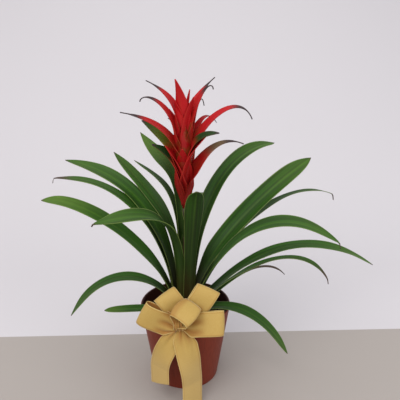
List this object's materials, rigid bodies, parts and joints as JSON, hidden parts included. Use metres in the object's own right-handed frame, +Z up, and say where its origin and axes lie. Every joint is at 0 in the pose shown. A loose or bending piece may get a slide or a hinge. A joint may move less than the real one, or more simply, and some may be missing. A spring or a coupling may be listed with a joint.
{
  "type": "potted bromeliad",
  "caption": "Bromeliad with strap leaves and a red flower head, standing in a plain tapered pot with a ribbon bow wired over its rim.",
  "frame": {"origin": "centre of the pot's base, on the surface that it stands on", "axes": "+Z up along the pot's axis, -Y towards the side with the bow, +X to the right seen from that side"},
  "size_m": [0.5436, 0.3311, 0.4962],
  "materials": {
    "pot": "satin red-brown moulded plastic",
    "soil": "dark crumbly peat with bark",
    "stem": "green stalk with clasping leaves",
    "bract": "waxy red bracts with greenish bases and dark tips",
    "leaf": "smooth dark green blade with fine lengthwise veins",
    "ribbon": "soft golden woven ribbon",
    "wire": "dark green florist's wire"
  },
  "bodies": {
    "root": {"pot": "pot", "soil": "soil", "flower_stem": "stem", "flower_head": "bract", "leaf_01": "leaf", "leaf_02": "leaf", "leaf_03": "leaf", "leaf_04": "leaf", "leaf_05": "leaf", "leaf_06": "leaf", "leaf_07": "leaf", "leaf_08": "leaf", "leaf_09": "leaf", "leaf_10": "leaf", "leaf_11": "leaf", "leaf_12": "leaf", "leaf_13": "leaf", "leaf_14": "leaf", "leaf_15": "leaf", "leaf_16": "leaf", "leaf_17": "leaf", "leaf_18": "leaf", "leaf_19": "leaf", "leaf_20": "leaf", "leaf_21": "leaf", "leaf_22": "leaf", "ribbon_bow": "ribbon", "bow_wire": "wire"}
  },
  "joints": []
}
